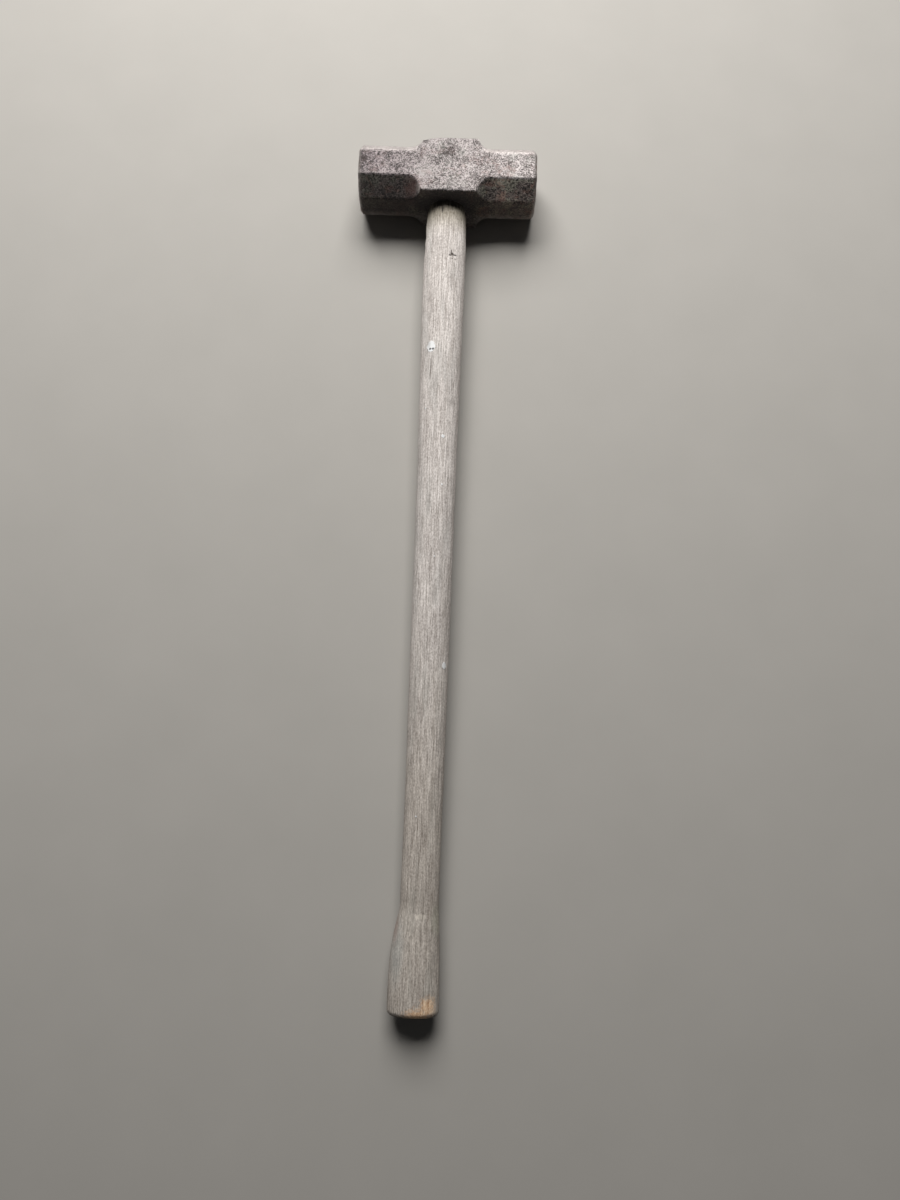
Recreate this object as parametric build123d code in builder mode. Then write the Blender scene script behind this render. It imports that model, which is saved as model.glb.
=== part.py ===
from build123d import *

import os
from math import acos, sin, sqrt

# Long-handled sledgehammer for driving fence posts.
#
# A forged double-faced steel head with octagonal ends and a square middle block is held on an ash
# handle. The handle's tongue goes through an oval eye that is waisted in the middle. A wooden wedge
# spreads a saw cut in the tongue, and two barbed steel wedges are driven across it.
#
# Frame: millimetres, +Z up, with the hammer lying on its side. X is the striking direction. The
# handle's axis is parallel to Y, and the handle runs towards -Y. The origin is on the head's lower
# cheek, under the centre of the eye.

# Head
HEAD_LENGTH = 195.5  # striking face to striking face
HEAD_WIDTH = 65.0  # across the flats, the same both ways
# The square block around the eye was forged a little off centre, and the chamfers are larger on the
# side where the handle enters.
BLOCK_ENDS = {-1: 29.0, 1: 32.6}  # from the eye's centre towards -X and towards +X
CHAMFERS = {-1: 18.4, 1: 16.0}  # taken off each flat along the long edges, towards -Y and towards +Y
SCOOP_RADIUS = 14.5  # where a chamfer runs out into the block
FACE_BEVEL = 3.2  # around each striking face
FACE_CROWN_RADIUS = 800.0  # the striking faces are slightly domed
BLOCK_EDGE_ROUND = 1.0

# Eye, as its distance along Y from the head's middle, its width in X and its height in Z
EYE_SEAT = (-HEAD_WIDTH / 2, 39.6, 30.6)  # where the handle enters
EYE_WAIST = (0.0, 36.8, 28.0)
EYE_CROWN = (HEAD_WIDTH / 2, 40.6, 31.6)  # where the wedged end shows

# Handle
HANDLE_LENGTH = 900.0  # from the proud end in the crown to the butt
PROUD = 3.0  # how far the tongue stands out of the crown
BUTT_ROUND = 5.5
BUTT_DISTANCE = HANDLE_LENGTH - PROUD - HEAD_WIDTH  # from the head's seat side to the butt
# Three stretches of the shaft, each with its start and end as distances from the seat side. Its ovals
# are evenly spaced: half width towards -X, half width towards +X, thickness in Z.
NECK_END = 60.0
SWELL_START = 728.0
NECK_OVALS = (
    (19.8, 19.8, 30.6),
    (21.5, 21.5, 33.0),
    (22.1, 22.1, 34.0),
    (22.4, 22.4, 34.5),
    (22.5, 22.5, 34.6),
)
SHAFT_OVALS = (
    NECK_OVALS[-1],
    (22.0, 21.7, 33.9),
    (20.1, 20.5, 32.5),
    (19.2, 20.0, 31.4),
    (18.7, 19.7, 30.6),
    (18.1, 18.9, 30.2),
    (18.0, 18.6, 30.0),
)
SWELL_OVALS = (
    SHAFT_OVALS[-1],
    (19.5, 19.1, 30.5),
    (23.1, 20.2, 31.9),
    (25.2, 20.8, 33.0),
    (26.0, 21.3, 33.8),
    (26.2, 21.7, 34.3),
    (25.8, 21.9, 34.4),
)

# Wedges
KERF_DEPTH = 54.0  # saw cut, from the tongue's end
KERF_GAP = 1.8  # the saw's own width, left open past the wooden wedge
WOODEN_WEDGE_LENGTH = 46.0
WOODEN_WEDGE_TOP = 7.0  # thickness at the tongue's end
STEEL_WEDGE_LENGTH = 31.0
STEEL_WEDGE_WIDTH = 19.0
STEEL_WEDGE_TOP = 4.6  # thickness at the tongue's end
STEEL_WEDGE_TIP = 1.0
STEEL_WEDGE_SKEW = 24.0  # degrees from the eye's short axis
STEEL_WEDGE_OFFSET = 9.6  # each side of the eye's centre
BARB_PITCH = 6.0
BARB_DEPTH = 0.55
BARB_COUNT = 3

AXIS_HEIGHT = HEAD_WIDTH / 2  # of the head's and the handle's axes
TONGUE_END = HEAD_WIDTH / 2 + PROUD
OVERCUT = 4.0  # how far a cutting shape reaches past what it cuts


def across_handle(y, x=0.0):
    """Plane across the handle, facing the butt, with its own X along the striking direction."""
    return Plane(origin=(x, y, AXIS_HEIGHT), x_dir=(1, 0, 0), z_dir=(0, -1, 0))


def barbed_side(side):
    """One side of a steel wedge from its top to its tip, as (depth, half thickness) points."""
    taper = (STEEL_WEDGE_TOP - STEEL_WEDGE_TIP) / STEEL_WEDGE_LENGTH / 2
    points = [(0, side * STEEL_WEDGE_TOP / 2)]
    for barb in range(1, BARB_COUNT + 1):
        depth = barb * BARB_PITCH
        half_thickness = STEEL_WEDGE_TOP / 2 - taper * depth
        points.append((depth, side * (half_thickness - BARB_DEPTH)))
        points.append((depth, side * half_thickness))
    points.append((STEEL_WEDGE_LENGTH, side * STEEL_WEDGE_TIP / 2))
    return points


# The tongue's shape fills the eye and stands proud of the crown. It cuts the eye and makes the
# tongue, so that the two surfaces meet exactly.
with BuildPart() as tongue_shape:
    for eye_y, eye_width, eye_height in (EYE_SEAT, EYE_WAIST, EYE_CROWN):
        with BuildSketch(across_handle(eye_y)):
            Ellipse(eye_width / 2, eye_height / 2)
    loft(ruled=True)
    with BuildSketch(across_handle(TONGUE_END)):
        Ellipse(EYE_CROWN[1] / 2, EYE_CROWN[2] / 2)
    extrude(amount=PROUD)

# Head: a square bar with its long edges chamfered at each end. Each chamfer stops at the block with
# a scoop, which a round cutter or die would leave.
axis_to_edge = HEAD_WIDTH / sqrt(2)
cut_end = HEAD_LENGTH / 2 + OVERCUT
cut_top = axis_to_edge + OVERCUT

with BuildPart() as head:
    with Locations((0, 0, AXIS_HEIGHT)):
        Box(HEAD_LENGTH, HEAD_WIDTH, HEAD_WIDTH)
    block_edges = head.edges().filter_by(Axis.X)
    fillet(block_edges, BLOCK_EDGE_ROUND)
    for end_x, block_end in BLOCK_ENDS.items():
        for corner_y, corner_z in ((-1, -1), (-1, 1), (1, -1), (1, 1)):
            axis_to_chamfer = (HEAD_WIDTH - CHAMFERS[corner_y]) / sqrt(2)
            scoop_turn = acos(1 - (axis_to_edge - axis_to_chamfer) / SCOOP_RADIUS)
            scoop_end = block_end + SCOOP_RADIUS * sin(scoop_turn)
            along = Vector(end_x, 0, 0)
            outward = Vector(0, corner_y, corner_z)
            edge_plane = Plane((0, 0, AXIS_HEIGHT), x_dir=along, z_dir=along.cross(outward))
            with BuildSketch(edge_plane):
                with BuildLine():
                    TangentArc(
                        (scoop_end, axis_to_chamfer), (block_end, axis_to_edge), tangent=(-1, 0)
                    )
                    Polyline(
                        (block_end, axis_to_edge),
                        (block_end, cut_top),
                        (cut_end, cut_top),
                        (cut_end, axis_to_chamfer),
                        (scoop_end, axis_to_chamfer),
                    )
                make_face()
            extrude(amount=HEAD_WIDTH / 2, both=True, mode=Mode.SUBTRACT)
    for end_x in (-1, 1):
        crown_centre = end_x * (HEAD_LENGTH / 2 - FACE_CROWN_RADIUS)
        with Locations((crown_centre, 0, AXIS_HEIGHT)):
            Sphere(FACE_CROWN_RADIUS, mode=Mode.INTERSECT)
    for striking_face in (head.faces().sort_by(Axis.X)[0], head.faces().sort_by(Axis.X)[-1]):
        chamfer(striking_face.edges(), FACE_BEVEL)
    add(tongue_shape.part, mode=Mode.SUBTRACT)

# Steel wedges: tapered plates with a saw-toothed outline, whose ledges face the top and hold them in.
steel_wedges = {}
for side_name, side_x in (("left", -1), ("right", 1)):
    wedge_plane = Plane(
        origin=(side_x * STEEL_WEDGE_OFFSET, TONGUE_END, AXIS_HEIGHT),
        x_dir=(0, -1, 0),
        z_dir=Vector(0, 0, 1).rotate(Axis.Y, STEEL_WEDGE_SKEW),
    )
    with BuildPart() as steel_wedge:
        with BuildSketch(wedge_plane):
            with BuildLine():
                Polyline(*barbed_side(1), *reversed(barbed_side(-1)), close=True)
            make_face()
        extrude(amount=STEEL_WEDGE_WIDTH / 2, both=True)
    steel_wedge.part.label = f"steel_wedge_{side_name}"
    steel_wedges[side_name] = steel_wedge.part

# Wooden wedge: as wide as the eye, tapering from the tongue's end down into the saw cut.
wedge_slope = (WOODEN_WEDGE_TOP - KERF_GAP) / 2 / WOODEN_WEDGE_LENGTH
wedge_half_top = WOODEN_WEDGE_TOP / 2 + wedge_slope * OVERCUT
wedge_tip = TONGUE_END - WOODEN_WEDGE_LENGTH
with BuildPart() as wedge_shape:
    with BuildSketch(Plane.YZ):
        with BuildLine():
            Polyline(
                (TONGUE_END + OVERCUT, AXIS_HEIGHT - wedge_half_top),
                (TONGUE_END + OVERCUT, AXIS_HEIGHT + wedge_half_top),
                (wedge_tip, AXIS_HEIGHT + KERF_GAP / 2),
                (wedge_tip, AXIS_HEIGHT - KERF_GAP / 2),
                close=True,
            )
        make_face()
    extrude(amount=HEAD_WIDTH / 2, both=True)

with BuildPart() as wooden_wedge:
    add(wedge_shape.part)
    add(tongue_shape.part, mode=Mode.INTERSECT)
    add(steel_wedges.values(), mode=Mode.SUBTRACT)

# Handle: the shaft is lofted through its ovals, and the tongue is cut for the wedges.
kerf_open_depth = KERF_DEPTH - WOODEN_WEDGE_LENGTH
with BuildPart() as handle:
    for start, end, ovals in (
        (0.0, NECK_END, NECK_OVALS),
        (NECK_END, SWELL_START, SHAFT_OVALS),
        (SWELL_START, BUTT_DISTANCE, SWELL_OVALS),
    ):
        spacing = (end - start) / (len(ovals) - 1)
        for index, (half_left, half_right, thickness) in enumerate(ovals):
            oval_y = EYE_SEAT[0] - start - index * spacing
            with BuildSketch(across_handle(oval_y, (half_right - half_left) / 2)):
                Ellipse((half_left + half_right) / 2, thickness / 2)
        loft()
    butt_face = handle.faces().sort_by(Axis.Y)[0]
    fillet(butt_face.edges(), BUTT_ROUND)
    add(tongue_shape.part)
    add(wedge_shape.part, mode=Mode.SUBTRACT)
    add(steel_wedges.values(), mode=Mode.SUBTRACT)
    with Locations((0, wedge_tip - kerf_open_depth / 2, AXIS_HEIGHT)):
        Box(HEAD_WIDTH, kerf_open_depth, KERF_GAP, mode=Mode.SUBTRACT)

head.part.label = "head"
handle.part.label = "handle"
wooden_wedge.part.label = "wooden_wedge"

os.makedirs("parts", exist_ok=True)
export_step(head.part, "parts/head.step")
export_step(handle.part, "parts/handle.step")
export_step(wooden_wedge.part, "parts/wooden_wedge.step")
export_step(steel_wedges["left"], "parts/steel_wedge_left.step")
export_step(steel_wedges["right"], "parts/steel_wedge_right.step")
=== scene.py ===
import math

import bmesh
import bpy
import numpy as np
from mathutils import Matrix, Vector
from mathutils.bvhtree import BVHTree


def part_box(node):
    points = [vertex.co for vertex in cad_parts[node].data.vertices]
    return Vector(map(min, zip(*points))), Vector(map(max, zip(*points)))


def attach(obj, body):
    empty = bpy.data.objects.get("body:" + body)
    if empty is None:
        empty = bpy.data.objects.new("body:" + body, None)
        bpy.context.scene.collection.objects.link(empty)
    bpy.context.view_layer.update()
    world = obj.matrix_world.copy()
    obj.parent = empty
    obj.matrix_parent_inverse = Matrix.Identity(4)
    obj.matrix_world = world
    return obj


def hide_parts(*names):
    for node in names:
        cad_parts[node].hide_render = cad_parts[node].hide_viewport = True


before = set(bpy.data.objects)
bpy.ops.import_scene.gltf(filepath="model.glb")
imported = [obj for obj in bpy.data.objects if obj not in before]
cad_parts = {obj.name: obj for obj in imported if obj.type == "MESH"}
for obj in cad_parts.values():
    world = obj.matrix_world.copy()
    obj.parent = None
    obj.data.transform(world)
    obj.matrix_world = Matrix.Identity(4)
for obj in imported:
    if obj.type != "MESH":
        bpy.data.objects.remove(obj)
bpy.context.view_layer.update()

# Sledgehammer lying on a pale floor. Everything is in metres, in the CAD model's frame: X along the
# striking direction, the handle running towards -Y, +Z up. Sizes below are in millimetres and are
# turned into metres by MM.

MM = 0.001
head_low, head_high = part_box("head")
handle_low, handle_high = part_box("handle")
wood_wedge_low, wood_wedge_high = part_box("wooden_wedge")
AXIS_Z = (head_low.z + head_high.z) / 2
SEAT_Y = head_low.y
CROWN_Y = head_high.y
BUTT_Y = handle_low.y
TONGUE_END_Y = handle_high.y
BLOCK_ENDS = (-29.0 * MM, 32.6 * MM)  # in X: the square block was forged a little off the eye's centre
EYE_HALF_WIDTH = 20.3 * MM  # at the crown, where the eye is widest
EYE_HALF_HEIGHT = 15.8 * MM

# ------------------------------------------------------------------ noise for mesh work


def cell_value(cells, seed):
    """A repeatable number from 0 to 1 for each whole-number cell."""
    x, y, z = (cells[:, i].astype(np.int64).astype(np.uint32) for i in range(3))
    h = x * np.uint32(374761393) + y * np.uint32(668265263) + z * np.uint32(2246822519)
    h = h + np.uint32(seed * 3266489917 % 2**32)
    h = (h ^ (h >> np.uint32(15))) * np.uint32(2246822519)
    h = (h ^ (h >> np.uint32(13))) * np.uint32(3266489917)
    return (h ^ (h >> np.uint32(16))) / 2**32


def noise(points, size, seed):
    """Smooth noise from -1 to 1 whose bumps are about size across. Size may differ by axis."""
    scaled = points / np.asarray(size, float)
    base = np.floor(scaled)
    part = scaled - base
    ease = part**3 * (part * (part * 6 - 15) + 10)
    total = np.zeros(len(points))
    for corner in np.ndindex(2, 2, 2):
        offset = np.array(corner)
        share = np.prod(np.where(offset, ease, 1 - ease), axis=1)
        total += share * cell_value(base + offset, seed)
    return total * 2 - 1


def layered_noise(points, size, seed, layers=3):
    """Noise with finer and weaker layers on it."""
    size = np.asarray(size, float)
    total = sum(noise(points, size / 2.1**i, seed + i) / 2**i for i in range(layers))
    return total / sum(0.5**i for i in range(layers))


def round_pits(points, spacing, seed, share):
    """Depth from 0 to 1 of round pits that sit in a share of the cells of a jittered lattice."""
    scaled = points / spacing
    base = np.floor(scaled)
    depth = np.zeros(len(points))
    for offset in np.ndindex(3, 3, 3):
        cell = base + np.array(offset) - 1
        centre = cell + np.stack([cell_value(cell, seed + i) for i in range(3)], axis=1)
        radius = 0.22 + 0.3 * cell_value(cell, seed + 3)
        present = cell_value(cell, seed + 4) < share
        reach = np.linalg.norm(scaled - centre, axis=1) / radius
        depth = np.maximum(depth, present * np.clip(1 - reach**2, 0, 1))
    return depth


# ------------------------------------------------------------------ mesh helpers

SMALLEST_EDGE = 0.01 * MM


def make_object(name, vertices, faces):
    mesh = bpy.data.meshes.new(name)
    mesh.from_pydata([tuple(v) for v in vertices], [], faces)
    mesh.validate()
    mesh.update()
    piece = bpy.data.objects.new(name, mesh)
    bpy.context.scene.collection.objects.link(piece)
    return piece


def welded_copy(node, name):
    """A copy of a CAD node whose split vertices are joined again, so that it is closed."""
    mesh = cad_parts[node].data.copy()
    work = bmesh.new()
    work.from_mesh(mesh)
    bmesh.ops.remove_doubles(work, verts=work.verts, dist=1e-6)
    work.to_mesh(mesh)
    work.free()
    mesh.materials.clear()
    piece = bpy.data.objects.new(name, mesh)
    bpy.context.scene.collection.objects.link(piece)
    return piece


def apply_modifiers(piece):
    bpy.context.view_layer.update()
    graph = bpy.context.evaluated_depsgraph_get()
    made = bpy.data.meshes.new_from_object(piece.evaluated_get(graph), depsgraph=graph)
    old = piece.data
    piece.modifiers.clear()
    piece.data = made
    bpy.data.meshes.remove(old)


def clean_mesh(mesh):
    """Takes out the faces without area that a cut leaves, and splits its many-sided faces."""
    work = bmesh.new()
    work.from_mesh(mesh)
    for _ in range(2):
        bmesh.ops.dissolve_degenerate(work, dist=SMALLEST_EDGE, edges=work.edges)
        bmesh.ops.triangulate(work, faces=[face for face in work.faces if len(face.verts) > 4])
    work.to_mesh(mesh)
    work.free()


def points_of(mesh):
    co = np.empty(len(mesh.vertices) * 3)
    mesh.vertices.foreach_get("co", co)
    return co.reshape(-1, 3)


def normals_of(mesh):
    normals = np.empty(len(mesh.vertices) * 3, np.float32)
    mesh.vertex_normals.foreach_get("vector", normals)
    return normals.reshape(-1, 3).astype(float)


def set_points(mesh, points):
    mesh.vertices.foreach_set("co", points.astype(np.float32).ravel())
    mesh.update()


def edges_of(mesh):
    ends = np.empty(len(mesh.edges) * 2, np.int32)
    mesh.edges.foreach_get("vertices", ends)
    return ends.reshape(-1, 2)


def neighbour_mean(values, ends):
    """For each vertex, the mean of values over the vertices that share an edge with it."""
    count = len(values)
    degree = np.bincount(ends.ravel(), minlength=count).clip(1)
    flat = values.reshape(count, -1)
    columns = [
        np.bincount(ends[:, 0], flat[ends[:, 1], i], count)
        + np.bincount(ends[:, 1], flat[ends[:, 0], i], count)
        for i in range(flat.shape[1])
    ]
    return (np.stack(columns, axis=1) / degree[:, None]).reshape(values.shape)


def bend_of(mesh, ends, passes=2):
    """How sharply the surface bends at each vertex, in radians: above 0 on edges, below 0 in hollows."""
    points, normals = points_of(mesh), normals_of(mesh)
    step = points[ends[:, 1]] - points[ends[:, 0]]
    length = np.linalg.norm(step, axis=1).clip(1e-9)
    turn = np.einsum("ij,ij->i", normals[ends[:, 1]] - normals[ends[:, 0]], step) / length
    count = len(points)
    degree = np.bincount(ends.ravel(), minlength=count).clip(1)
    bend = (np.bincount(ends[:, 0], turn, count) + np.bincount(ends[:, 1], turn, count)) / degree
    for _ in range(passes):
        bend = (bend + neighbour_mean(bend, ends)) / 2
    return bend


def set_attribute(mesh, name, values):
    attribute = mesh.attributes.new(name, "FLOAT", "POINT")
    attribute.data.foreach_set("value", values.astype(np.float32))


def fine_copy(node, name, voxel):
    """An evenly meshed copy of a CAD node that lies on the CAD surface."""
    target = welded_copy(node, name + "_target")
    piece = welded_copy(node, name)
    remesh = piece.modifiers.new("even", "REMESH")
    remesh.mode = "VOXEL"
    remesh.voxel_size = voxel
    remesh.adaptivity = 0
    wrap = piece.modifiers.new("wrap", "SHRINKWRAP")
    wrap.target = target
    wrap.wrap_method = "NEAREST_SURFACEPOINT"
    apply_modifiers(piece)
    bpy.data.objects.remove(target)
    return piece


# ------------------------------------------------------------------ head

HEAD_VOXEL = 0.85 * MM
EDGE_PASSES = 9
EYE_MARGIN = 0.35 * MM  # the eye's wall, out to here, stays as the CAD made it
# Dents on the upper cheek: place in X and Y, radius and depth, in millimetres
CHEEK_MARKS = (
    (-10, 15, 1.7, 0.45),
    (-70, -3, 1.8, 0.45),
    (-79, 9, 3.2, 0.16),
    (77, 0, 2.4, 0.22),
    (11, -15, 3.0, 0.20),
    (2, 9, 2.5, 0.12),
    (-44, 10, 4.5, 0.10),
    (-86, -9, 2.4, 0.22),
    (44, -9, 3.0, 0.12),
    (88, 6, 2.2, 0.20),
    (-27, -24, 1.8, 0.22),
    (23, 25, 2.0, 0.20),
)
# The block's upper corner on the crown side, towards -X, is worn round.
WORN_CORNER = (BLOCK_ENDS[0], CROWN_Y, head_high.z)
WORN_CORNER_RADIUS = 9.0 * MM
WORN_CORNER_DEPTH = 3.2 * MM
CHIPS_PER_FACE = 11
CHIP_RADII = (1.8 * MM, 4.5 * MM)
CHIP_DEPTHS = (0.3 * MM, 1.0 * MM)
CHIP_INSET = (2.0 * MM, 1.5 * MM)  # from the striking face, and from the octagon's sides


def inside_eye(points, slack):
    """True within the eye's oval, widened by slack."""
    across = np.abs(points[:, 0]) / (EYE_HALF_WIDTH + slack)
    up = np.abs(points[:, 2] - AXIS_Z) / (EYE_HALF_HEIGHT + slack)
    return across**2 + up**2 < 1


def dent(points, centre, radius, depth, seed):
    """Depth of a ragged dent at each point."""
    reach = np.linalg.norm(points - np.array(centre), axis=1) / radius
    reach = reach * (1 + 0.35 * noise(points, radius, seed))
    return depth * np.exp(-(reach**2))


def face_chips(half_length):
    """Chips around the bevels of the two striking faces, as centre, radius and depth."""
    random = np.random.default_rng(41)
    half_width = (CROWN_Y - SEAT_Y) / 2
    eighth = math.pi / 4
    chips = []
    for end in (-1, 1):
        for _ in range(CHIPS_PER_FACE):
            angle = random.uniform(0, 2 * math.pi)
            from_side = (angle + eighth / 2) % eighth - eighth / 2
            reach = (half_width - CHIP_INSET[1]) / math.cos(from_side)
            place = (
                end * (half_length - CHIP_INSET[0]),
                reach * math.cos(angle),
                AXIS_Z + reach * math.sin(angle),
            )
            chips.append((place, random.uniform(*CHIP_RADII), random.uniform(*CHIP_DEPTHS)))
    return chips


def make_head():
    piece = fine_copy("head", "sledge_head", HEAD_VOXEL)
    mesh = piece.data
    ends = edges_of(mesh)
    points = points_of(mesh)
    free = np.where(inside_eye(points, EYE_MARGIN), 0.0, 1.0)

    # Edges are worn round, more in some places than in others.
    wear_share = np.clip(0.5 + 0.55 * layered_noise(points, 17 * MM, 3), 0.12, 0.95) * free
    for _ in range(EDGE_PASSES):
        points = points + wear_share[:, None] * 0.5 * (neighbour_mean(points, ends) - points)
    set_points(mesh, points)
    bend = bend_of(mesh, ends)

    # Forged unevenness, pitting and marks from use.
    normals = normals_of(mesh)
    height = 0.30 * MM * layered_noise(points, 34 * MM, 11, 2)
    height += 0.13 * MM * layered_noise(points, 9 * MM, 21, 3)
    height += 0.05 * MM * noise(points, 2.6 * MM, 31)
    coarse = round_pits(points, 5.2 * MM, 51, 0.30)
    fine = round_pits(points, 2.9 * MM, 61, 0.34)
    patch = np.clip(0.55 + 0.9 * noise(points, 26 * MM, 71), 0, 1)
    pitting = np.maximum(coarse * patch, 0.6 * fine)
    height -= 0.26 * MM * coarse * patch + 0.13 * MM * fine
    marks = np.zeros(len(points))
    for index, (x, y, radius, depth) in enumerate(CHEEK_MARKS):
        centre = (x * MM, y * MM, head_high.z)
        marks += dent(points, centre, radius * MM, depth * MM, 80 + index)
    for index, (centre, radius, depth) in enumerate(face_chips(head_high.x)):
        marks += dent(points, centre, radius, depth, 120 + index)
    height -= marks + dent(points, WORN_CORNER, WORN_CORNER_RADIUS, WORN_CORNER_DEPTH, 150)
    points = points + normals * (height * free)[:, None]
    set_points(mesh, points)

    set_attribute(mesh, "edge", np.clip(bend * 2.6, 0, 1))
    set_attribute(mesh, "hollow", np.clip(-bend * 2.2, 0, 1))
    set_attribute(mesh, "pit", np.clip(0.8 * pitting + marks / (0.8 * MM), 0, 1))
    mesh.shade_smooth()
    return piece


# ------------------------------------------------------------------ handle

HANDLE_COLUMNS = 136
ROW_STEP = 1.5 * MM
BUTT_ROUND_ROWS = 12
STUB_ROWS = 7  # on the part of the tongue that stands out of the crown
CAP_RINGS = 14
BUTT_ROUND = 5.5 * MM
WOOD_SETBACK = 0.3 * MM  # how far the tongue's end grain has weathered back from the wedges
CRACK_WIDTH = 0.75  # millimetres
KERF_GAP = 1.8 * MM
KERF_PAST_WEDGE = 8 * MM  # how far the saw cut goes on past the wooden wedge
OVERCUT = 3 * MM  # how far a cutter stands out of the tongue's end
# Open cracks along the grain: x, start and end below the head, depth and side (1 up, -1 down), in
# millimetres
CRACKS = (
    (-10.2, 182, 216, 0.35, 1),
    (3.0, 118, 136, 0.22, 1),
    (6.5, 300, 345, 0.15, 1),
    (-4.5, 402, 470, 0.14, 1),
    (9.0, 560, 612, 0.18, 1),
    (-8.0, 640, 700, 0.15, 1),
    (4.0, 700, 752, 0.22, 1),
    (-1.0, 20, 62, 0.14, 1),
    (-6.0, 60, 210, 0.5, -1),
    (7.0, 330, 520, 0.45, -1),
    (-2.0, 690, 815, 0.6, -1),
    (12.0, 90, 150, 0.35, -1),
)
# Dents: x, distance below the head, radius and depth, in millimetres, on the upper side
HANDLE_DENTS = (
    (7.8, 65.5, 1.7, 0.5),
    (9.3, 70, 1.3, 0.3),
    (-14.0, 120, 5.0, 0.25),
    (13.0, 236, 6.0, 0.3),
    (-12.0, 395, 6.0, 0.25),
    (2.0, 452, 4.0, 0.2),
    (12.0, 512, 4.5, 0.3),
    (-9.0, 585, 5.0, 0.25),
    (1.7, 745, 3.5, 0.35),
)


def row_places():
    """Where the handle's rows lie along Y, from the butt to the tongue's end."""
    round_turns = np.linspace(0, math.pi / 2, BUTT_ROUND_ROWS)[1:]
    rounding = BUTT_Y + BUTT_ROUND * (1 - np.cos(round_turns))
    body = np.linspace(rounding[-1], CROWN_Y, round((CROWN_Y - rounding[-1]) / ROW_STEP))
    stub = np.linspace(CROWN_Y, TONGUE_END_Y - WOOD_SETBACK, STUB_ROWS)
    return np.concatenate([rounding, body[1:], stub[1:]])


def surface_tree(node):
    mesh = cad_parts[node].data
    polygons = [tuple(p.vertices) for p in mesh.polygons]
    return BVHTree.FromPolygons([v.co.copy() for v in mesh.vertices], polygons)


def section_radii(rows, angles):
    """Radius of the CAD handle at each row and angle: the eye's wall inside the head."""
    handle_tree, head_tree = surface_tree("handle"), surface_tree("head")
    far = 80 * MM
    inset = 0.3 * MM
    radii = np.zeros((len(rows), len(angles)))
    for i, y in enumerate(rows):
        in_eye = y > SEAT_Y + inset
        axis_point = Vector((0, min(y, CROWN_Y - inset), AXIS_Z))
        for j, angle in enumerate(angles):
            outward = Vector((math.cos(angle), 0, math.sin(angle)))
            if in_eye:
                hit = head_tree.ray_cast(axis_point, outward, far)
            else:
                hit = handle_tree.ray_cast(axis_point + outward * far, -outward, far)
            radii[i, j] = (hit[0] - axis_point).length
    return radii


def smooth_rows(grid, passes):
    for _ in range(passes):
        inner = (grid[:-2] + 2 * grid[1:-1] + grid[2:]) / 4
        grid = np.concatenate([grid[:1], inner, grid[-1:]])
        grid = (np.roll(grid, 1, axis=1) + 2 * grid + np.roll(grid, -1, axis=1)) / 4
    return grid


def crack_depth(x, below, up, crack, points, seed):
    """Depth of a narrow crack that wanders a little and closes at both ends."""
    crack_x, start, end, depth, side = crack
    along = (below - start) / (end - start)
    closing = np.clip(np.sin(np.clip(along, 0, 1) * math.pi), 0, 1) ** 0.5
    wander = 1.1 * noise(points, (1, 45 * MM, 1), seed)
    across = np.abs(x - crack_x - wander) / CRACK_WIDTH
    return depth * closing * np.exp(-(across**2)) * (up * side > 0)


def handle_relief(points):
    """How far the wood stands out from the CAD surface, in millimetres, and how deep its marks are."""
    x = points[:, 0] / MM
    below = (SEAT_Y - points[:, 1]) / MM
    up = points[:, 2] - AXIS_Z
    exposed = np.clip(below / 3, 0, 1)
    proud = (points[:, 1] > CROWN_Y + 0.2 * MM).astype(float)

    height = 0.22 * layered_noise(points, (38 * MM, 110 * MM, 38 * MM), 5, 2)
    height += 0.06 * layered_noise(points, (4.0 * MM, 60 * MM, 4.0 * MM), 15, 2)
    height += 0.05 * noise(points, (2.2 * MM, 16 * MM, 2.2 * MM), 25)
    cracks = np.zeros(len(points))
    for index, crack in enumerate(CRACKS):
        cracks = np.maximum(cracks, crack_depth(x, below, up, crack, points, 200 + index))
    dents = np.zeros(len(points))
    for index, (dent_x, dent_below, radius, depth) in enumerate(HANDLE_DENTS):
        flat_distance = np.hypot(x - dent_x, (below - dent_below) / 1.6) / radius
        ragged = flat_distance * (1 + 0.4 * noise(points, radius * MM, 240 + index))
        dents += depth * np.exp(-(ragged**2)) * (up > 0)
    # Fibres are bruised where the handle meets the head.
    shoulder = np.exp(-((below / 9) ** 2)) * (below > 0)
    bruise = shoulder * (0.35 + 0.6 * noise(points, (2.4 * MM, 14 * MM, 2.4 * MM), 35))
    height -= cracks + dents + np.clip(bruise, 0, 1)

    # In the eye the wood is a hair's breadth off the steel, and past it it swells a little.
    relief = height * exposed - 0.04 * (1 - exposed) * (1 - proud) + 0.35 * proud
    relief += proud * 0.25 * noise(points, 3 * MM, 45)
    return relief, np.clip((cracks + 0.6 * dents) / 0.35, 0, 1)


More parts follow.
